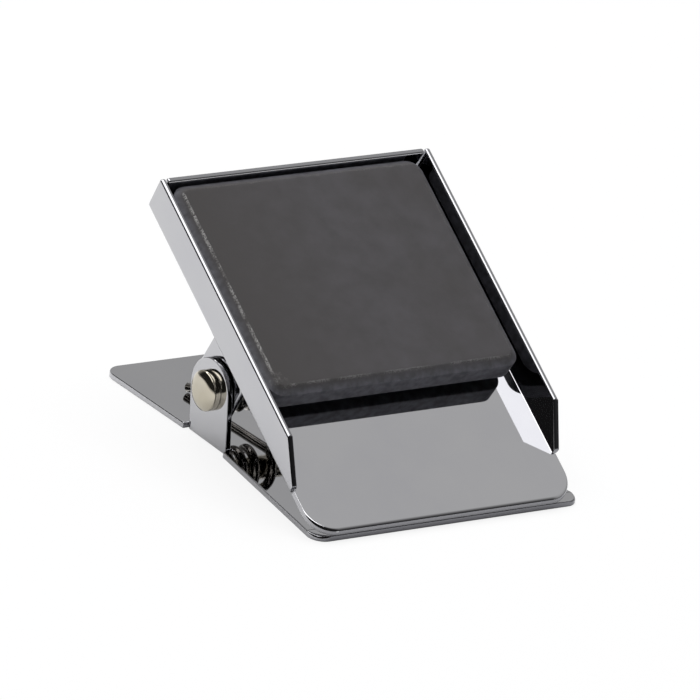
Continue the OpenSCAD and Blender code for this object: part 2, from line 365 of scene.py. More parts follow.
@dataclass(frozen=True)
class Finish:
    """A procedural material over a principled shader.

    Attributes:
        name: Name of the material.
        metallic: 1 for a metal and 0 for anything else.
        tints: Darker and paler hex colour of its pattern.
    """

    name: str
    metallic: float
    tints: Tints

    def material(self) -> Material:
        """Makes the material, with the finish's own look on its shader."""
        material = bpy.data.materials.new(self.name)
        nodes = Nodes.of(material)
        place = nodes.add("TexCoord").outputs["Object"]
        look = {"Metallic": self.metallic, **self.look(nodes, place)}
        shader = nodes.add("BsdfPrincipled", look)
        nodes.add("OutputMaterial", {"Surface": shader.outputs[0]})
        return material

    def look(self, nodes: Nodes, place: NodeSocket) -> dict[str, Any]:
        """Paints the finish's own pattern.

        Args:
            nodes: Nodes of the material.
            place: Socket of the object coordinates.

        Returns:
            Values and sockets for the shader's inputs.
        """
        raise NotImplementedError


@dataclass(frozen=True)
class Metal(Finish):
    """A metal whose tint and gloss change together in soft patches.

    Attributes:
        patch: Pattern of the patches.
        gloss: Least and greatest roughness.
        gloss_over: Values of the patches over which the roughness runs.
    """

    patch: Pattern
    gloss: Span
    gloss_over: Span = WHOLE

    def look(self, nodes: Nodes, place: NodeSocket) -> dict[str, Any]:
        """Lets tint and gloss follow the patches."""
        patch = nodes.noise(place, self.patch)
        return {
            "Base Color": nodes.ramp(patch, self.patch.span, self.tints),
            "Roughness": nodes.stretch(patch, self.gloss_over, self.gloss),
        }


@dataclass(frozen=True)
class ChromePlate(Metal):
    """Bright chrome on rolled steel: a cool rippled hazy mirror with painted shade on front edges.

    Attributes:
        ripple, ripple_mm, ripple_strength: Pattern, height and strength of the ripple.
        edge_wear_and_shade: Tint of the painted shade on the jaws' front edges.
    """

    name: str = "chrome_plated_steel"
    metallic: float = 1.0
    tints: Tints = ("#BCBCBF", "#BFBFC1")
    patch: Pattern = Pattern(9.0, 3.0)
    gloss: Span = (0.03, 0.045)
    gloss_over: Span = (0.3, 0.75)
    ripple: Pattern = Pattern(22.0, 1.0)
    ripple_mm: float = 0.006
    ripple_strength: float = 1.0
    edge_wear_and_shade: str = "#77777B"

    def look(self, nodes: Nodes, place: NodeSocket) -> dict[str, Any]:
        """Lets ripple bend the hazy mirror, and paints shade on the front edges."""
        look = super().look(nodes, place)
        edge_wear_and_shade = nodes.mark(Mark.FRONT_EDGE)
        ripple = nodes.noise(place, self.ripple)
        # Painted shade: sheared sides darken towards the tint by how far they face the front,
        # standing in for the shadowed table that they mirror.
        look["Base Color"] = nodes.mix(edge_wear_and_shade, look["Base Color"], linear(self.edge_wear_and_shade))
        look["Normal"] = nodes.relief(ripple, self.ripple_mm, self.ripple_strength)
        return look


@dataclass(frozen=True)
class NickelPlate(Metal):
    """Barrel-plated nickel: a warm cream metal, softened by a fine satin and a few small pits.

    Attributes:
        pits, pit_mm, pit_strength: Pattern, depth and strength of the pits.
    """

    name: str = "nickel_plated_steel"
    metallic: float = 1.0
    tints: Tints = ("#BCB5A4", "#C4BEAF")
    patch: Pattern = Pattern(3.0, 4.0)
    gloss: Span = (0.1, 0.15)
    pits: Pattern = Pattern(0.3, 2.0)
    pit_mm: float = 0.001
    pit_strength: float = 0.5

    def look(self, nodes: Nodes, place: NodeSocket) -> dict[str, Any]:
        """Roughens the satin metal with pits."""
        pits = nodes.relief(nodes.noise(place, self.pits), self.pit_mm, self.pit_strength)
        return {**super().look(nodes, place), "Normal": pits}


@dataclass(frozen=True)
class SpringWire(Metal):
    """Drawn spring wire: dark steel with an oily sheen that breaks up along the coil."""

    name: str = "oiled_spring_steel"
    metallic: float = 1.0
    tints: Tints = ("#5C5955", "#8A867F")
    patch: Pattern = Pattern(2.5, 3.0)
    gloss: Span = (0.12, 0.2)


@dataclass(frozen=True)
class SinteredFerrite(Finish):
    """Sintered ferrite: a dense grey ceramic, mottled by its grain, with pale breaks at the edges.

    Attributes:
        ior, gloss: Index of refraction, low for a porous face, and span of roughness.
        mottle, clouds: Patterns of the ground face and of its brown clouds.
        cloud_and_shade_brown, cloud_share: Tint of the clouds and of the painted shade, and most
            brown in a cloud.
        left_shade_mm, left_shade_share: Span across over which the painted shade by the left wall
            fades, and most brown in it.
        crust, skin: Pattern and tints of the fired sides.
        grain, grain_mm, grain_strength: Pattern, height and strength of the grain.
        chipped, edge_over: Tint of breaks, and nearness to the edge over which they begin.
        specks, gaps: Patterns of the breaks and of the gaps between them.
        worn_corner, cluster_mm, cluster_share, scatter: Most worn corner, and its specks' reach,
            share and pattern.
    """

    name: str = "sintered_ferrite"
    metallic: float = 0.0
    tints: Tints = ("#3B393B", "#464447")
    ior: float = 1.42
    gloss: Span = (0.6, 0.8)
    mottle: Pattern = Pattern(3.0, 6.0, (0.32, 0.68))
    clouds: Pattern = Pattern(16.0, 3.0, (0.45, 0.7))
    cloud_and_shade_brown: str = "#373433"
    cloud_share: float = 0.7
    left_shade_mm: Span = (-18.0, 0.0)
    left_shade_share: float = 0.75
    crust: Pattern = Pattern(0.9, 3.0)
    skin: Tints = ("#444449", "#5A5A61")
    grain: Pattern = Pattern(0.35, 3.0)
    grain_mm: float = 0.02
    grain_strength: float = 0.6
    chipped: str = "#959493"
    edge_over: Span = (0.8, 1.0)
    specks: Pattern = Pattern(0.18, 2.0, (0.38, 0.62))
    gaps: Pattern = Pattern(2.2, 2.0, (0.35, 0.6))
    worn_corner: Point = (0.0, 0.0, 0.0)
    cluster_mm: float = 2.0
    cluster_share: float = 0.9
    scatter: Pattern = Pattern(0.6, 2.0, (0.5, 0.64))

    def look(self, nodes: Nodes, place: NodeSocket) -> dict[str, Any]:
        """Mottles the ground face, browns it, paints shade on it, and adds fired skin, breaks and
        grain.
        """
        mottle = nodes.noise(place, self.mottle)
        across = nodes.add("SeparateXYZ", {0: place}).outputs["X"]
        left_shade_span = (self.left_shade_mm[0] * MM, self.left_shade_mm[1] * MM)
        # Brown clouds, and painted shade that darkens and browns the face towards the tray's left
        # wall.
        brown_and_shade = nodes.math(
            "MAXIMUM",
            nodes.spots(place, self.clouds, self.cloud_share),
            nodes.stretch(across, left_shade_span, (self.left_shade_share, 0.0)),
        )
        crust = nodes.noise(place, self.crust)
        skin = nodes.ramp(crust, self.crust.span, self.skin)
        colour = nodes.ramp(mottle, self.mottle.span, self.tints)
        for share, over in (
            (brown_and_shade, linear(self.cloud_and_shade_brown)),
            (nodes.mark(Mark.FIRED_SKIN), skin),
            (self.breaks(nodes, place), linear(self.chipped)),
        ):
            colour = nodes.mix(share, colour, over)
        grain = nodes.noise(place, self.grain)
        return {
            "IOR": self.ior,
            "Base Color": colour,
            "Roughness": nodes.stretch(mottle, WHOLE, self.gloss),
            "Normal": nodes.relief(grain, self.grain_mm, self.grain_strength),
        }

    def breaks(self, nodes: Nodes, place: NodeSocket) -> NodeSocket:
        """Breaks the worn edge up into small pale specks with longer gaps between them.

        Args:
            nodes: Nodes of the material.
            place: Socket of the object coordinates.

        Returns:
            Socket with the share of fresh break at a point.
        """
        edge = nodes.stretch(nodes.mark(Mark.EDGE_NEAR), self.edge_over)
        ends = {0: place, 1: self.worn_corner}
        off = nodes.add("VectorMath", ends, operation="DISTANCE").outputs["Value"]
        cluster = nodes.stretch(off, (0.0, self.cluster_mm * MM), (self.cluster_share, 0.0))
        corner = nodes.math("MULTIPLY", cluster, nodes.spots(place, self.scatter))
        share = nodes.math("MAXIMUM", edge, corner)
        for pattern in (self.specks, self.gaps):
            share = nodes.math("MULTIPLY", share, nodes.spots(place, pattern))
        return nodes.math("MULTIPLY", share, nodes.mark(Mark.EDGE_WEAR))


@dataclass(frozen=True)
class FoamTape(Finish):
    """Closed-cell foam tape: matt black rubber whose cut sides show its cells.

    Attributes:
        cell_mm, cell_depth_mm: Size and depth of the cells.
        cell_over: Distances from a cell's middle, in cells, over which the tint runs.
        cell_strength, matt: How far the depth shows, and roughness.
    """

    name: str = "black_closed_cell_foam"
    metallic: float = 0.0
    tints: Tints = ("#141415", "#222224")
    cell_mm: float = 0.3
    cell_over: Span = (0.1, 0.7)
    cell_depth_mm: float = 0.08
    cell_strength: float = 0.7
    matt: float = 0.9

    def look(self, nodes: Nodes, place: NodeSocket) -> dict[str, Any]:
        """Draws the cells in tint and relief."""
        inputs = {"Vector": place, "Scale": 1 / (self.cell_mm * MM)}
        cells = nodes.add("TexVoronoi", inputs).outputs["Distance"]
        return {
            "Base Color": nodes.ramp(cells, self.cell_over, self.tints),
            "Roughness": self.matt,
            "Normal": nodes.relief(cells, self.cell_depth_mm, self.cell_strength),
        }


# Frame


@dataclass(frozen=True)
class Rig:
    """What the sub-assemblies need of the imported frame.

    Attributes:
        nodes: CAD objects by name.
        pivot: Point on the pin's axis in the tray's middle.
        to_frame: Matrix to the shared frame from the tray's own axes at rest. These lie about the
            pivot, with x across, y along the tray's floor and z out of it.
        tilt: Angle of the tray's floor over the base plate, in radians.
    """

    nodes: dict[str, Object]
    pivot: Vector
    to_frame: Matrix
    tilt: float

    @classmethod
    def read(cls, frame: dict[str, Any]) -> "Rig":
        """Reads the pin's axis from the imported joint, and the tray's axes from the magnet's face.


        Returns:
            The rig.
        """
        pivot = Vector(frame["joints"][0]["pos_m"])
        face = next(m for m in frame["record"]["mounts"] if m["name"] == "magnet_face")
        out = Vector(face["axis"]).normalized()
        across = Vector((1, 0, 0))
        turn = Matrix((across, out.cross(across), out)).transposed().to_4x4()
        to_frame = Matrix.Translation(pivot) @ turn
        return cls(frame["nodes"], pivot, to_frame, math.atan2(-out.y, out.z))

    @property
    def to_tray(self) -> Matrix:
        """Matrix from the shared frame to the tray's own axes."""
        return self.to_frame.inverted()

    def tray_box(self, node: str) -> tuple[Vector, Vector]:
        """Gives the lowest and highest corner of a CAD node along the tray's axes."""
        points = [self.to_tray @ v.co for v in self.nodes[node].data.vertices]
        low, high = (Vector(pick(p[i] for p in points) for i in range(3)) for pick in (min, max))
        return low, high

    def seat(self, piece: Object) -> None:
        """Moves a piece that was modelled along the tray's axes to its place."""
        piece.matrix_world = self.to_frame
        settle(piece)


# Sub-assemblies


@dataclass
class SubAssembly:
    """A piece of the clip that stands for one CAD node.

    Attributes:
        node: CAD node that it stands for.
        body: Body that it rides on.
        slot: Material slot of the node; not used.
    """

    node: str
    body: Body
    slot: Slot

    def build(self, rig: Rig) -> Object:
        """Models the piece.

        Args:
            rig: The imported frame.

        Returns:
            The piece, with its place in its mesh.
        """
        raise NotImplementedError

    def dress(self, piece: Object, rig: Rig, finish: Material) -> None:
        """Gives the piece its finish and hangs it on its body.

        Args:
            piece: What build returned.
            rig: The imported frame.
            finish: Material of the piece.
        """
        piece.data.materials.append(finish)
        self.hang(piece, rig)
        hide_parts(self.node)

    def hang(self, piece: Object, rig: Rig) -> None:
        """Lets the piece ride on its body."""
        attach(piece, self.body.value)


@dataclass
class Pressing(SubAssembly):
    """A chromed sheet pressing: its CAD form with every sheared edge rolled over by tumbling.

    Attributes:
        edge_mm: Width of the rounding along the sheet's edges.
        edge_steps: Number of facets of that rounding.
        merge_mm: Distance within which the CAD's points are one.
        flat_deg: Angle up to which neighbouring triangles count as one flat face.
        edge_deg: Angle from which an outward edge counts as sheared.
        sheared_mm2: Area up to which a part of the surface counts as a sheared side.
    """

    slot: Slot = Slot.CHROME
    edge_mm: float = 0.15
    edge_steps: int = 5
    merge_mm: float = 0.0005
    flat_deg: float = 0.4
    edge_deg: float = 40.0
    sheared_mm2: float = 200.0

    def build(self, rig: Rig) -> Object:
        """Copies the node, joins its triangles to flat faces and rounds its outward edges."""
        mesh = rig.nodes[self.node].data.copy()
        mesh.materials.clear()
        piece = add_object(f"{self.node}_pressing", mesh)
        bpy.ops.mesh.customdata_custom_splitnormals_clear()
        with editing(piece):
            bpy.ops.mesh.select_all(action="SELECT")
            bpy.ops.mesh.remove_doubles(threshold=self.merge_mm * MM)
            bpy.ops.mesh.dissolve_limited(angle_limit=math.radians(self.flat_deg))
        self.reshape(mesh, rig)
        shape = bmesh.new()
        shape.from_mesh(mesh)
        weight = shape.edges.layers.float.new("bevel_weight_edge")
        for edge in shape.edges:
            if edge.is_convex and edge.calc_face_angle() > math.radians(self.edge_deg):
                edge[weight] = self.rounding(edge, rig) / self.edge_mm
        self.mark_front_edges(shape)
        shape.to_mesh(mesh)
        shape.free()
        apply_modifier(
            piece,
            "rolled_edges",
            "BEVEL",
            limit_method="WEIGHT",
            width=self.edge_mm * MM,
            segments=self.edge_steps,
            use_clamp_overlap=False,
            loop_slide=False,
        )
        smooth_flat(piece)
        return piece

    def mark_front_edges(self, shape: BMesh) -> None:
        """Marks the sheared sides by how far they face the front, for the chrome's painted shade.

        Sharp edges part the surface into areas, and those too small for a face of the sheet are its
        sheared sides.

        Args:
            shape: The pressing before its edges are rounded.
        """
        mark = shape.faces.layers.float.new(Mark.FRONT_EDGE.value)
        seen = set()
        for seed in shape.faces:
            if seed in seen:
                continue
            seen.add(seed)
            area = [seed]
            for face in area:
                for edge in face.edges:
                    if edge.calc_face_angle(math.pi) < math.radians(self.edge_deg):
                        area += [other for other in edge.link_faces if other not in seen]
                        seen.update(edge.link_faces)
            if sum(face.calc_area() for face in area) < self.sheared_mm2 * MM**2:
                for face in area:
                    # This share is painted shade on the chrome, strongest on sides that face the
                    # front.
                    face[mark] = max(0.0, -face.normal.y)

    def reshape(self, mesh: Mesh, rig: Rig) -> None:
        """Changes the outline of the pressing, which most pressings keep."""

    def rounding(self, edge: BMEdge, rig: Rig) -> float:
        """Gives the width of the rounding along a sheared edge in mm."""
        return self.edge_mm


@dataclass
class BasePressing(Pressing):
    """The base plate: edges lightly rolled over, with the jaw's front corners rounder on top.

    Attributes:
        corner_mm: Width of the rounding on the jaw's front corners.
        front_y: Place behind which an edge isn't at the jaw's front, in mm.
    """

    node: str = "base_plate"
    body: Body = Body.BASE
    corner_mm: float = 0.45
    front_y: float = -23.5

    def rounding(self, edge: BMEdge, rig: Rig) -> float:
        """Rounds the top of the jaw's front corners further than the other edges."""
        normals = [face.normal for face in edge.link_faces]
        behind = any(v.co.y > self.front_y * MM for v in edge.verts)
        if behind or not any(normal.z > FACING for normal in normals):
            return self.edge_mm
        corner = max(abs(2 * normal.x * normal.y) for normal in normals)
        return self.edge_mm + corner * (self.corner_mm - self.edge_mm)


@dataclass
class TrayPressing(Pressing):
    """The magnet tray: edges well rolled over, but for the walls' front ends and parts of the lip.

    Attributes:
        crisp_mm: Width of the rounding along the walls' front ends and under the lip.
        side_mm: Width along the lip's sides, which the shear left sharp.
        relief_mm, relief_box: Width in the reliefs at the walls' feet, and their reach in mm along
            the tray and in from the lip's side.
        lip_mm: Width along the lip's front edge, which wears down to the sides.
        lip_y, lip_len, lip_w: Place of the lip's edge along the tray, and its size, in mm.
        cad_corner_r, lip_corner_r: Radius of the lip's corners in the CAD and the photo, in mm.
        slack_mm: Distance from its place within which a point of a corner is found.
        end_slope, end_facing: Slope of the walls' front ends in degrees, and least share of a
            normal along it.
    """

    node: str = "magnet_tray"
    body: Body = Body.TRAY
    edge_mm: float = 0.3
    crisp_mm: float = 0.12
    side_mm: float = 0.05
    relief_mm: float = 0.04
    relief_box: Span = (1.0, 0.7)
    lip_mm: float = 0.66
    lip_y: float = -29.5
    lip_len: float = 6.55
    lip_w: float = 39.2
    cad_corner_r: float = 5.0
    lip_corner_r: float = 3.6
    slack_mm: float = 0.01
    end_slope: float = 40.0
    end_facing: float = 0.98

    def reshape(self, mesh: Mesh, rig: Rig) -> None:
        """Brings the lip's corners from the CAD's radius to the photographed one."""
        slack = self.slack_mm
        for vertex in mesh.vertices:
            at = (rig.to_tray @ vertex.co) / MM
            hand = math.copysign(1, at.x)
            old, new = (
                Vector((hand * (self.lip_w / 2 - r), self.lip_y + r, at.z))
                for r in (self.cad_corner_r, self.lip_corner_r)
            )
            out = at - old
            inside = hand * out.x < -slack or out.y > slack
            if not inside and abs(out.length - self.cad_corner_r) <= 2 * slack:
                vertex.co = rig.to_frame @ ((new + out.normalized() * self.lip_corner_r) * MM)

    def rounding(self, edge: BMEdge, rig: Rig) -> float:
        """Keeps the walls' front ends and the lip's sides and underside crisp."""
        slope = math.radians(self.end_slope)
        end_way = Vector((0, -math.sin(slope), math.cos(slope)))
        normals = [rig.to_tray.to_3x3() @ face.normal for face in edge.link_faces]
        if any(normal.dot(end_way) > self.end_facing for normal in normals):
            return self.crisp_mm
        ends = [(rig.to_tray @ v.co) / MM for v in edge.verts]
        fold = self.lip_y + self.lip_len
        along, inwards = self.relief_box
        if all(abs(p.y - fold) < along and abs(p.x) > self.lip_w / 2 - inwards for p in ends):
            return self.relief_mm
        if any(p.y > fold + NEAR / MM for p in ends):
            return self.edge_mm
        if not any(normal.z > FACING for normal in normals):
            return self.crisp_mm
        front = max(0.0, *(-normal.y for normal in normals))
        return self.side_mm + front * (self.lip_mm - self.side_mm)


@dataclass
class Rivet(SubAssembly):
    """The pivot pin, turned from its low head to its peened end.

    Attributes:
        sides, steps: Facets round the pin and along each curve of its profile.
        pin_d, head_d, head_t: Diameter of the shank, and diameter and height of the head, in mm.
        flat_d, shoulder_r: Diameter of the head's flat, and radius of its shoulder, in mm.
        peen_d, peen_t: Diameter and height of the peened end in mm.
        rim_mm, rim_steps, rim_deg: Rounding of the rims, its facets, and angle of a rim.
    """

    node: str = "pivot_pin"
    body: Body = Body.BASE
    slot: Slot = Slot.NICKEL
    sides: int = 96
    steps: int = 12
    pin_d: float = 3.0
    head_d: float = 5.2
    head_t: float = 1.45
    flat_d: float = 2.4
    shoulder_r: float = 1.9
    peen_d: float = 4.6
    peen_t: float = 0.9
    rim_mm: float = 0.12
    rim_steps: int = 3
    rim_deg: float = 25.0

    def profile(self, length: float) -> list[Span]:
        """Works out the stations of the pin along its axis.

        Args:
            length: Whole length of the pin in mm.

        Returns:
            Distance from the head's face and radius of each station, in mm.
        """
        flat = self.flat_d / 2
        end = math.asin((self.head_d / 2 - flat) / self.shoulder_r)
        head = [
            (self.shoulder_r * (1 - math.cos(a)), flat + self.shoulder_r * math.sin(a))
            for a in (end * i / self.steps for i in range(self.steps + 1))
        ]
        shank = [(self.head_t, self.head_d / 2), (self.head_t, self.pin_d / 2)]
        dome_r = (self.peen_d**2 / 4 + self.peen_t**2) / (2 * self.peen_t)
        foot = length - self.peen_t
        half = math.asin(self.peen_d / 2 / dome_r)
        dome = [
            (foot + dome_r * (math.cos(a) - math.cos(half)), dome_r * math.sin(a))
            for a in (half * (1 - i / self.steps) for i in range(self.steps))
        ]
        return head + shank + [(foot, self.pin_d / 2)] + dome

    def is_rim(self, edge: BMEdge) -> bool:
        """Tells whether an edge is a rim of the pin."""
        return edge.is_convex and edge.calc_face_angle() > math.radians(self.rim_deg)

    def build(self, rig: Rig) -> Object:
        """Turns the pin by drawing a disc out from station to station."""
        low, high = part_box(self.node)
        stations = self.profile((high.x - low.x) / MM)
        at, radius = stations[0]
        bpy.ops.mesh.primitive_circle_add(
            vertices=self.sides,
            radius=radius * MM,
            fill_type="NGON",
            location=(low.x, rig.pivot.y, rig.pivot.z),
            rotation=(0, math.pi / 2, 0),
        )
        piece = newest("pivot_rivet")
        settle(piece)
        with editing(piece):
            bpy.ops.mesh.select_all(action="SELECT")
            for next_at, next_radius in stations[1:]:
                step = ((next_at - at) * MM, 0, 0)
                bpy.ops.mesh.extrude_region_move(TRANSFORM_OT_translate={"value": step})
                share = next_radius / radius
                bpy.ops.transform.resize(
                    value=(1, share, share),
                    center_override=(low.x + next_at * MM, rig.pivot.y, rig.pivot.z),
                )
                at, radius = next_at, next_radius
            bpy.ops.mesh.select_all(action="SELECT")
            bpy.ops.mesh.normals_make_consistent(inside=False)
            bevel_edges(piece, self.is_rim, self.rim_mm, self.rim_steps)
        smooth_flat(piece)
        return piece


@dataclass
class CoilSpring(SubAssembly):
    """The torsion spring: one wire, wound round the pin, with one leg on each jaw.

    Attributes:
        pad, sheet_t: CAD node on the tray's floor, and thickness of the sheet in mm.
        wire_d, coil_r, coil_pitch: Diameter of the wire, and radius and pitch of the coil, in mm.
        right_x: Place of the coil's right end along the pin, from the pivot, in mm.
        whole_turns: Number of full turns of the coil.
        end_turn_gap: Extra gap by the right end turn, under which the base leg runs out, in mm.
        base_leg, tray_leg, leg_gap: Lengths of the legs and gap to their jaws in mm.
        leg_splay: Angle by which the base leg runs out to the left, in degrees.
        round_steps, steps_per_turn: Fineness round the wire, and facets along a turn.
        end_bevel, sharp_deg: Rounding of the cropped ends in mm, and angle that stays sharp.
        hold_mm: Heights from the pivot up to which the wire follows the base, and from which
        the tray; not used.
    """

    node: str = "torsion_spring"
    body: Body = Body.BASE
    slot: Slot = Slot.WIRE
    pad: str = "adhesive_pad"
    sheet_t: float = 0.8
    wire_d: float = 1.2
    coil_r: float = 2.6
    coil_pitch: float = 1.75
    right_x: float = -5.36
    whole_turns: int = 3
    end_turn_gap: float = 0.95
    base_leg: float = 12.4
    tray_leg: float = 14.0
    leg_splay: float = 22.0
    leg_gap: float = 0.05
    round_steps: int = 9
    steps_per_turn: int = 64
    end_bevel: float = 0.15
    sharp_deg: float = 50.0
    hold_mm: Span = (-1.95, 0.8)

    def angles(self, rig: Rig) -> Span:
        """Works out the directions of the two legs, from +Y towards +Z.

        Args:
            rig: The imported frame.

        Returns:
            Angles of the base leg and the tray leg in radians.
        """
        rise = self.sheet_t - rig.pivot.z / MM
        drop = rig.tray_box(self.pad)[0].z / MM - self.sheet_t
        stand_off = self.leg_gap + self.wire_d / 2
        base_r, tray_r = (math.hypot(leg, self.coil_r) for leg in (self.base_leg, self.tray_leg))
        base = math.asin((rise + stand_off) / base_r) + math.asin(self.coil_r / base_r)
        tray = math.asin((drop - stand_off) / tray_r) - math.asin(self.coil_r / tray_r)
        return base, rig.tilt + tray

    def path(self, base_leg: float, tray_leg: float) -> list[Vector]:
        """Follows the wire's middle line from the end of the base leg to the end of the tray leg.

        Args:
            base_leg: Angle of the base leg in radians.
            tray_leg: Angle of the tray leg in radians.

        Returns:
            Points in mm from the pivot; two at each end bound the cropped end.
        """
        start = base_leg - math.pi / 2
        part = (start - tray_leg - math.pi / 2) % (2 * math.pi)
        whole = self.whole_turns + part / (2 * math.pi)
        steps = round(whole * self.steps_per_turn)
        coil = []
        for turns in (whole * i / steps for i in range(steps + 1)):
            angle = start - 2 * math.pi * turns
            x = self.right_x - self.coil_pitch * turns - self.end_turn_gap * min(turns, 1.0)
            coil.append(Vector((x, self.coil_r * math.cos(angle), self.coil_r * math.sin(angle))))
        splay = -math.tan(math.radians(self.leg_splay))
        first = Vector((splay, math.cos(base_leg), math.sin(base_leg))) * self.base_leg
        last = Vector((0, math.cos(tray_leg), math.sin(tray_leg))) * self.tray_leg
        crops = [leg.normalized() * self.end_bevel for leg in (first, last)]
        before = [coil[0] + first, coil[0] + first - crops[0]]
        after = [coil[-1] + last - crops[1], coil[-1] + last]
        return before + coil + after

    def build(self, rig: Rig) -> Object:
        """Draws the wire along its middle line, with its two ends cropped round."""
        points = self.path(*self.angles(rig))
        curve = bpy.data.curves.new("torsion_spring_wire", "CURVE")
        curve.dimensions = "3D"
        curve.bevel_depth = self.wire_d / 2 * MM
        curve.bevel_resolution = self.round_steps
        curve.use_fill_caps = True
        line = curve.splines.new("POLY")
        line.points.add(len(points) - 1)
        for point, at in zip(line.points, points):
            point.co = (*(rig.pivot + at * MM), 1)
        for end in (line.points[0], line.points[-1]):
            end.radius = 1 - 2 * self.end_bevel / self.wire_d
        add_object(curve.name, curve)
        bpy.ops.object.convert(target="MESH")
        piece = newest("torsion_spring_wire")
        with editing(piece):
            bpy.ops.mesh.select_all(action="SELECT")
            bpy.ops.mesh.remove_doubles(threshold=NEAR)
            bpy.ops.mesh.normals_make_consistent(inside=False)
        bpy.ops.object.shade_smooth_by_angle(angle=math.radians(self.sharp_deg))
        return piece

    def hang(self, piece: Object, rig: Rig) -> None:
        """Leaves the wire on no body, with its place baked into its mesh."""
        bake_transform(piece)


@dataclass
class FerriteBlock(SubAssembly):
    """The magnet: a sintered block with rounded corners, a ground chamfer and a worn face edge.

    Attributes:
        corner_r, corner_steps: Radius of the upright edges in mm, and their facets.
        foot_mm, foot_steps: Bevel round the foot, and its facets.
        chamfer, chamfer_h: Width and depth of the chamfer round the face in mm.
        step_mm, long_steps: Spacing of the points along the edge, and spacings in a long edge.
        worn_mm, worn_steps: Rounding that wear leaves on the face's edge, and its facets.
        worn_reach: Reach of the wear from that edge, in widths of its rounding.
        face_mm2, band_mm: Least area of the ground face, and width of its worn band.
        chip_mm, chip_pitch_mm, chip_drop: Depth and spacing of chips, and share that they sink.
        wear: How worn the edge is on the left, right, front and back.
        cluster_mm: Reach of the wear round the front left corner.
        corner_in: Distance of that corner from the block's sides, in widths of the chamfer.
        sharp_deg: Angle from which an edge stays sharp.
    """

    node: str = "magnet"
    body: Body = Body.TRAY
    slot: Slot = Slot.FERRITE
    corner_r: float = 2.0
    corner_steps: int = 10
    foot_mm: float = 0.25
    foot_steps: int = 2
    chamfer: float = 1.05
    chamfer_h: float = 0.8
    step_mm: float = 0.3
    long_steps: int = 5
    worn_mm: float = 0.12
    worn_steps: int = 3
    worn_reach: float = 1.5
    face_mm2: float = 100.0
    band_mm: float = 0.4
    chip_mm: float = 0.07
    chip_pitch_mm: float = 0.9
    chip_drop: float = 0.6
    wear: tuple[float, float, float, float] = (1.0, 0.15, 0.3, 0.1)
    cluster_mm: float = 2.0
    corner_in: float = 1.3
    sharp_deg: float = 30.0

    def build(self, rig: Rig) -> Object:
        """Shapes the block along the tray's axes, wears its edge and seats it."""
        low, high = rig.tray_box(self.node)
        waist = Vector((high.x, high.y, high.z - self.chamfer_h * MM))
        long_edge = self.long_steps * self.step_mm * MM
        piece = add_box("magnet_block", (low + waist) / 2, waist - low)
        with editing(piece):
            bevel_edges(piece, upright, self.corner_r, self.corner_steps)
            bevel_edges(piece, level_at(low.z), self.foot_mm, self.foot_steps)
            select(piece, Element.FACE, lambda f: f.normal.z > FACING)
            bpy.ops.mesh.inset(thickness=self.chamfer * MM, depth=self.chamfer_h * MM)
            select(
                piece,
                Element.EDGE,
                lambda e: e.calc_length() > long_edge
                and min(v.co.z for v in e.verts) > waist.z - NEAR,
            )
            bpy.ops.mesh.subdivide(number_cuts=round((high.x - low.x) / MM / self.step_mm))
            bevel_edges(piece, level_at(high.z), self.worn_mm, self.worn_steps)
            select(
                piece,
                Element.FACE,
                lambda f: f.calc_area() > self.face_mm2 * MM**2 and f.normal.z > FACING,
            )
            bpy.ops.mesh.inset(thickness=self.band_mm * MM, depth=0)
        self.wear_edge(piece.data, low, high)
        smooth_flat(piece, self.sharp_deg)
        rig.seat(piece)
        return piece

    def worn_corner(self, rig: Rig) -> Point:
        """Gives the place of the most worn corner of the face, at the front on the left."""
        low, high = rig.tray_box(self.node)
        inset = self.corner_in * self.chamfer * MM
        return tuple(rig.to_frame @ Vector((low.x + inset, low.y + inset, high.z)))

    def wear_edge(self, mesh: Mesh, low: Vector, high: Vector) -> None:
        """Breaks small chips out of the edge round the face and marks the wear for the finish.

        Args:
            mesh: The block along the tray's axes.
            low: Its lowest corner.
            high: Its highest corner.
        """
        skin, near, edge_wear_and_shade = (
            mesh.attributes.new(mark.value, "FLOAT", "POINT").data
            for mark in (Mark.FIRED_SKIN, Mark.EDGE_NEAR, Mark.EDGE_WEAR)
        )
        rim = Vector((1, 1, 0)) * self.chamfer * MM
        edge_low, edge_high = low + rim, high - rim
        middle = (low + high) / 2
        for index, vertex in enumerate(mesh.vertices):
            at = vertex.co.copy()
            below = at.z < high.z - 0.5 * self.chamfer_h * MM
            left, right = at.x - edge_low.x, edge_high.x - at.x
            front, back = at.y - edge_low.y, edge_high.y - at.y
            nearest, share = min(zip((left, right, front, back), self.wear), key=lambda s: s[0])
            corner = math.hypot(left, front) / MM
            skin[index].value = float(below)
            edge_wear_and_shade[index].value = min(1.0, share + math.exp(-((corner / self.cluster_mm) ** 2)))
            if below or abs(nearest) / MM > self.worn_reach * self.worn_mm:
                continue
            near[index].value = 1.0
            chip = noise.noise(at / (self.chip_pitch_mm * MM)) * self.chip_mm * MM
            inward = Vector((middle.x - at.x, middle.y - at.y, 0)).normalized()
            vertex.co = at + inward * chip - Vector((0, 0, max(0.0, chip) * self.chip_drop))


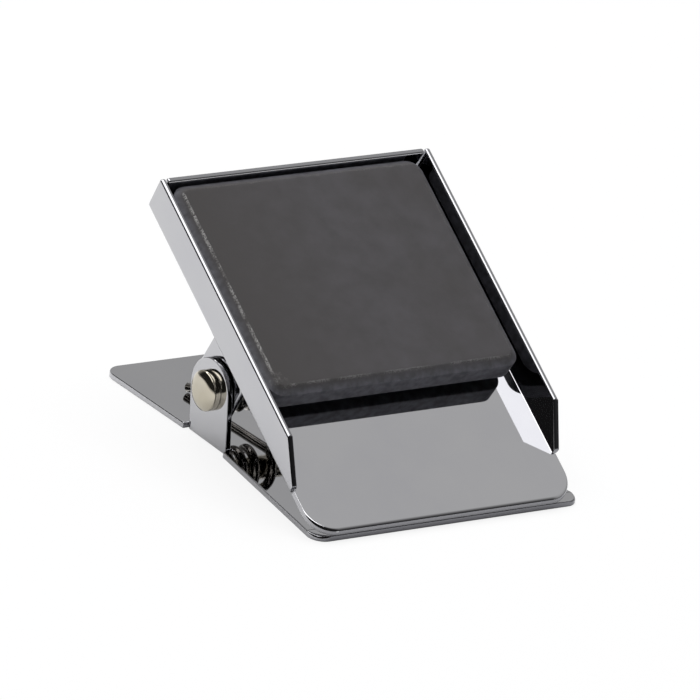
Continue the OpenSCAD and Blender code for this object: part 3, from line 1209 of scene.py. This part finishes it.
@dataclass
class FoamPad(SubAssembly):
    """The pad of foam tape between the magnet and the floor, with sides that bulge a little.

    Attributes:
        corner_r, corner_steps: Radius of the pad's corners in mm, and their facets.
        side_cuts, bulge: Cuts round the squeezed sides, and how far these stand out in mm.
    """

    node: str = "adhesive_pad"
    body: Body = Body.TRAY
    slot: Slot = Slot.FOAM
    corner_r: float = 1.5
    corner_steps: int = 8
    side_cuts: int = 7
    bulge: float = 0.25

    def build(self, rig: Rig) -> Object:
        """Cuts the pad along the tray's axes, lets its sides bulge and seats it."""
        low, high = rig.tray_box(self.node)
        middle, half = (low + high) / 2, (high - low) / 2
        draw_in = Vector((self.bulge, self.bulge, 0)) * MM
        piece = add_box("foam_tape_pad", middle, high - low - 2 * draw_in)
        with editing(piece):
            bevel_edges(piece, upright, self.corner_r, self.corner_steps)
            select(piece, Element.EDGE, upright)
            bpy.ops.mesh.subdivide(number_cuts=self.side_cuts)
        for vertex in piece.data.vertices:
            off = vertex.co - middle
            rise = off.z / half.z
            swell = self.bulge * MM * (1 - rise * rise)
            vertex.co += Vector((math.copysign(swell, off.x), math.copysign(swell, off.y), 0))
        smooth_flat(piece)
        rig.seat(piece)
        return piece

    def dress(self, piece: Object, rig: Rig, finish: Material) -> None:
        super().dress(piece, rig, finish)


# Studio


@dataclass
class Studio:
    """A white table under one broad soft box, in a dark room that is grey on the far right.

    Attributes:
        azimuth, elevation, roll: Camera's angles in degrees; an azimuth of 0 looks along +Y.
        distance_mm, aim_mm: Its distance from its aim, and that aim from the pivot.
        lens, sensor, clip_m: Focal length and sensor's width in mm, and nearest distance seen.
        table_m, cove_m: Length of the table's sides, and height of its cove.
        paper, paper_glow: The table's tint and share of plain white, which leaves a faint shadow.
        mirrored_glow: That share where metal mirrors the table, which shows more of its shadow.
        box_height_m, box_size_m, box_shift_m, box_radiance: The soft box.
        room_dark, room_low, room_rise: Light of the dark side, and what the grey side adds at the
            horizon and overhead.
        room_axis, room_edge: Way to the grey side, and shares along it where grey begins.
    """

    azimuth: float = -37.43
    elevation: float = 22.396
    roll: float = 8.736
    distance_mm: float = 1048.4
    aim_mm: Point = (0.628, -6.039, 6.068)
    lens: float = 437.14
    sensor: float = 36.0
    clip_m: float = 0.1
    table_m: float = 5.0
    cove_m: float = 0.18
    paper: str = "#EEEEEF"
    paper_glow: float = 0.85
    mirrored_glow: float = 0.13
    box_height_m: float = 1.1
    box_size_m: Span = (1.22, 1.6)
    box_shift_m: Span = (-0.11, 0.33)
    box_radiance: float = 3.12
    room_dark: float = 0.02
    room_low: float = 0.337
    room_rise: float = 0.37
    room_axis: Point = (0.86, 0.5, 0.0)
    room_edge: Span = (0.0, 0.45)

    def build(self, pivot: Vector) -> None:
        """Sets up the camera, table, light and room round the pivot."""
        self.add_camera(pivot)
        self.add_table()
        self.add_soft_box()
        self.grade_room()
        bpy.context.scene.view_settings.view_transform = "Standard"

    def add_camera(self, pivot: Vector) -> None:
        """Places the camera at the photograph's angle, with its roll."""
        around, up_by, roll = (math.radians(a) for a in (self.azimuth, self.elevation, self.roll))
        flat = math.cos(up_by)
        back = Vector((math.sin(around) * flat, -math.cos(around) * flat, math.sin(up_by)))
        level = Vector((math.cos(around), math.sin(around), 0))
        right = level * math.cos(roll) + back.cross(level) * math.sin(roll)
        turn = Matrix((right, back.cross(right), back)).transposed()
        place = pivot + (Vector(self.aim_mm) + back * self.distance_mm) * MM
        bpy.ops.object.camera_add(location=place, rotation=turn.to_euler())
        camera = bpy.context.active_object
        camera.data.lens = self.lens
        camera.data.sensor_width = self.sensor
        camera.data.clip_start = self.clip_m
        bpy.context.scene.camera = camera

    def add_table(self) -> None:
        """Lays a sheet of white paper whose edges sweep up into a low cove."""
        bpy.ops.mesh.primitive_plane_add(size=self.table_m)
        table = newest("white_table")
        with editing(table):
            bpy.ops.mesh.select_mode(type="EDGE")
            bpy.ops.mesh.select_all(action="SELECT")
            bpy.ops.mesh.extrude_edges_move(TRANSFORM_OT_translate={"value": (0, 0, self.cove_m)})
        material = bpy.data.materials.new("white_paper")
        nodes = Nodes.of(material)
        paper = nodes.add("BsdfDiffuse", {"Color": linear(self.paper)})
        glow = nodes.add("Emission", {"Color": WHITE, "Strength": 1.0})
        path = nodes.add("LightPath").outputs
        mirrored = nodes.math("MAXIMUM", path["Is Glossy Ray"], path["Is Transmission Ray"])
        share = nodes.math("MULTIPLY", mirrored, self.mirrored_glow)
        share = nodes.math("MULTIPLY_ADD", path["Is Camera Ray"], self.paper_glow, share)
        mix = nodes.add("MixShader", {0: share, 1: paper.outputs[0], 2: glow.outputs[0]})
        nodes.add("OutputMaterial", {"Surface": mix.outputs[0]})
        table.data.materials.append(material)

    def add_soft_box(self) -> None:
        """Hangs the soft box over the table, a little behind the clip."""
        bpy.ops.object.light_add(type="AREA", location=(*self.box_shift_m, self.box_height_m))
        lamp = bpy.context.active_object.data
        lamp.shape = "RECTANGLE"
        lamp.size, lamp.size_y = self.box_size_m
        lamp.energy = self.box_radiance * math.pi * lamp.size * lamp.size_y

    def grade_room(self) -> None:
        """Grades the room by direction, from dark at the camera's left to grey at the far right."""
        world = bpy.context.scene.world or bpy.data.worlds.new("studio_room")
        bpy.context.scene.world = world
        nodes = Nodes.of(world)
        way = nodes.add("TexCoord").outputs["Generated"]
        ends = {0: way, 1: self.room_axis}
        side = nodes.add("VectorMath", ends, operation="DOT_PRODUCT").outputs["Value"]
        share = nodes.stretch(side, self.room_edge, interpolation_type="SMOOTHSTEP")
        height = nodes.add("SeparateXYZ", {0: way}).outputs["Z"]
        level = nodes.math("MULTIPLY_ADD", height, self.room_rise, self.room_low)
        strength = nodes.math("MULTIPLY_ADD", share, level, self.room_dark)
        room = nodes.add("Background", {"Color": WHITE, "Strength": strength})
        nodes.add("OutputWorld", {"Surface": room.outputs[0]})


def main() -> None:
    """Builds the clip piece by piece around the frame, then the studio."""
    logging.basicConfig(level=logging.INFO, format="%(name)s: %(message)s")
    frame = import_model()
    rig = Rig.read(frame)

    chrome = ChromePlate().material()
    magnet = FerriteBlock()
    ferrite = SinteredFerrite(worn_corner=magnet.worn_corner(rig), cluster_mm=magnet.cluster_mm)
    parts: list[tuple[SubAssembly, Material]] = [
        (BasePressing(), chrome),
        (TrayPressing(), chrome),
        (Rivet(), NickelPlate().material()),
        (CoilSpring(), SpringWire().material()),
        (magnet, ferrite.material()),
        (FoamPad(), FoamTape().material()),
    ]
    for part, finish in parts:
        piece = part.build(rig)
        part.dress(piece, rig, finish)
        LOG.info("%s: %d faces", piece.name, len(piece.data.polygons))

    Studio().build(rig.pivot)


if __name__ == "__main__":
    main()
